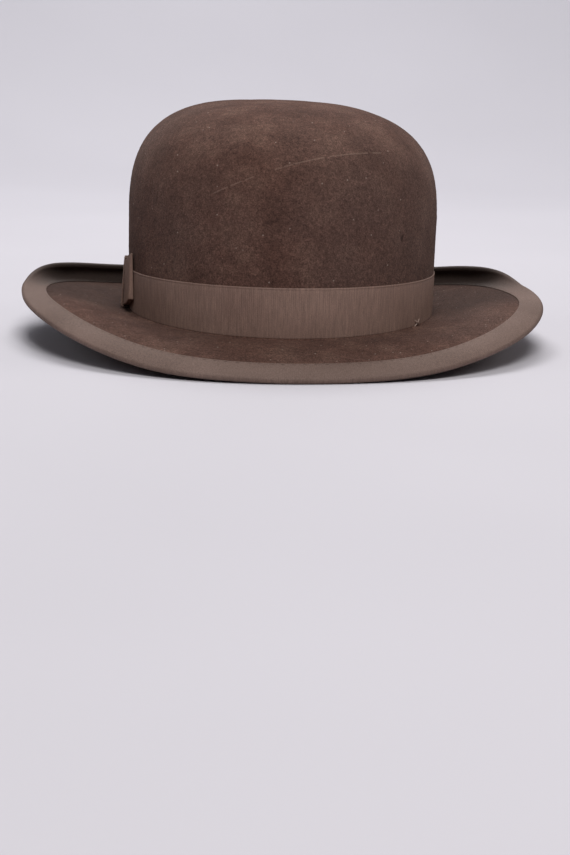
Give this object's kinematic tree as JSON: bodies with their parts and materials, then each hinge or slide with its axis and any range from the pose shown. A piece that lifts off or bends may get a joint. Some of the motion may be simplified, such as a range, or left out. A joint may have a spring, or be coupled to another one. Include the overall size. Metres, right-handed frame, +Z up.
{
  "type": "bowler hat",
  "caption": "Brown felt bowler hat with a rounded crown, ribbon band with a flat side bow, ribbon-bound brim with rolled sides and dipped front, leather sweatband and satin lining.",
  "frame": {"origin": "centre of the head opening, where the crown's wall meets the brim", "axes": "+Z up through the crown, -Y towards the front of the hat, +X towards the wearer's left; the bow is on the wearer's right, at -X"},
  "size_m": [0.2922, 0.3032, 0.1323],
  "materials": {
    "felt": "stiffened brown felt with a short brushed nap",
    "ribbon": "brown grosgrain with upright ribs",
    "binding": "greyish brown grosgrain folded over the rim",
    "thread": "brown sewing thread",
    "sweatband_leather": "smooth tan leather, lightly worn",
    "tape": "plain cotton tape",
    "reed_plastic": "flexible plastic reed",
    "casing_cloth": "glazed cotton strip",
    "small_ribbon": "narrow satin ribbon",
    "label": "blank woven label",
    "lining_satin": "bronze-tan satin",
    "piping": "corded satin piping"
  },
  "bodies": {
    "root": {"felt_crown": "felt", "felt_brim": "felt", "hat_band": "ribbon", "hat_band_lap": "ribbon", "hat_band_tacks": "thread", "crossed_tack": "thread", "bow_front_loop": "ribbon", "bow_rear_loop": "ribbon", "bow_knot": "ribbon", "bow_stitches": "thread", "brim_binding": "binding", "binding_lap": "binding", "binding_stitches": "thread", "sweatband": "sweatband_leather", "sweatband_seam_tape": "tape", "sweatband_seam_stitches": "thread", "sweatband_stitches": "thread", "reed": "reed_plastic", "reed_casing": "casing_cloth", "sweatband_bow_right_loop": "small_ribbon", "sweatband_bow_left_loop": "small_ribbon", "sweatband_bow_knot": "small_ribbon", "size_label": "label", "lining_wall": "lining_satin", "lining_tip": "lining_satin", "lining_piping": "piping"}
  },
  "joints": []
}
